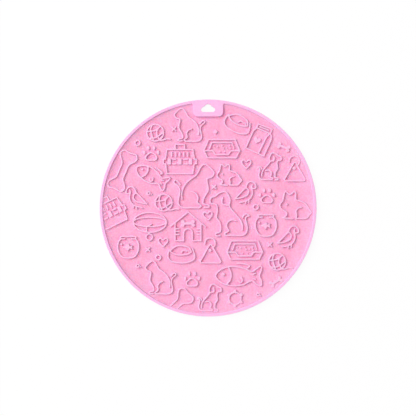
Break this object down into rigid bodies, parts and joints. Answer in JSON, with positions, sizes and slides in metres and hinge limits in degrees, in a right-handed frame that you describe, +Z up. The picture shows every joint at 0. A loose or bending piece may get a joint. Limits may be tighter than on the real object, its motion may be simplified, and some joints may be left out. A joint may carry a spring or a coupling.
{
  "type": "lick mat",
  "caption": "Round silicone lick mat with a raised rim, a hanging tab with a cloud-shaped hole, and a floor of pet pictures drawn in raised ridges that hold soft food.",
  "frame": {"origin": "middle of the flat underside, on the surface that the mat lies on", "axes": "+Z up out of the licking side, +Y from the middle towards the hanging tab, +X to the right seen from above"},
  "size_m": [0.2, 0.2, 0.0055],
  "materials": {
    "silicone_floor": "soft matte silicone, pink",
    "silicone_rim": "smooth satin silicone, lighter lilac pink",
    "silicone_ridge": "smooth satin silicone, pale pink"
  },
  "bodies": {
    "root": {"base_sheet": "silicone_floor", "rim": "silicone_rim", "hanging_tab": "silicone_rim", "cat_upper": "silicone_ridge", "cat_middle": "silicone_ridge", "cat_lower": "silicone_ridge", "dog_upper": "silicone_ridge", "dog_middle": "silicone_ridge", "dog_lower": "silicone_ridge", "rabbit_upper": "silicone_ridge", "rabbit_right": "silicone_ridge", "bird_left": "silicone_ridge", "bird_middle": "silicone_ridge", "bird_right": "silicone_ridge", "fish_upper": "silicone_ridge", "fish_lower": "silicone_ridge", "fishbowl_left": "silicone_ridge", "fishbowl_right": "silicone_ridge", "big_bone_left": "silicone_ridge", "big_bone_lower": "silicone_ridge", "small_bone_upper": "silicone_ridge", "small_bone_lower": "silicone_ridge", "paw_upper": "silicone_ridge", "paw_right": "silicone_ridge", "paw_lower": "silicone_ridge", "heart_upper": "silicone_ridge", "heart_middle": "silicone_ridge", "heart_lower": "silicone_ridge", "yarn_upper": "silicone_ridge", "yarn_middle": "silicone_ridge", "yarn_lower": "silicone_ridge", "food_bowl_upper": "silicone_ridge", "food_bowl_lower": "silicone_ridge", "food_bag": "silicone_ridge", "litter_tray_upper": "silicone_ridge", "litter_tray_lower": "silicone_ridge", "carrier_upper": "silicone_ridge", "carrier_left": "silicone_ridge", "name_tag_right": "silicone_ridge", "name_tag_lower": "silicone_ridge", "collar": "silicone_ridge", "kennel": "silicone_ridge", "flower": "silicone_ridge", "diamond": "silicone_ridge", "sparkle_upper": "silicone_ridge", "sparkle_middle": "silicone_ridge", "sparkle_right": "silicone_ridge", "sparkle_left": "silicone_ridge", "ring_upper": "silicone_ridge", "ring_right": "silicone_ridge", "ring_left": "silicone_ridge", "bubbles_upper": "silicone_ridge", "bubbles_left": "silicone_ridge", "bubbles_lower": "silicone_ridge"}
  },
  "joints": []
}
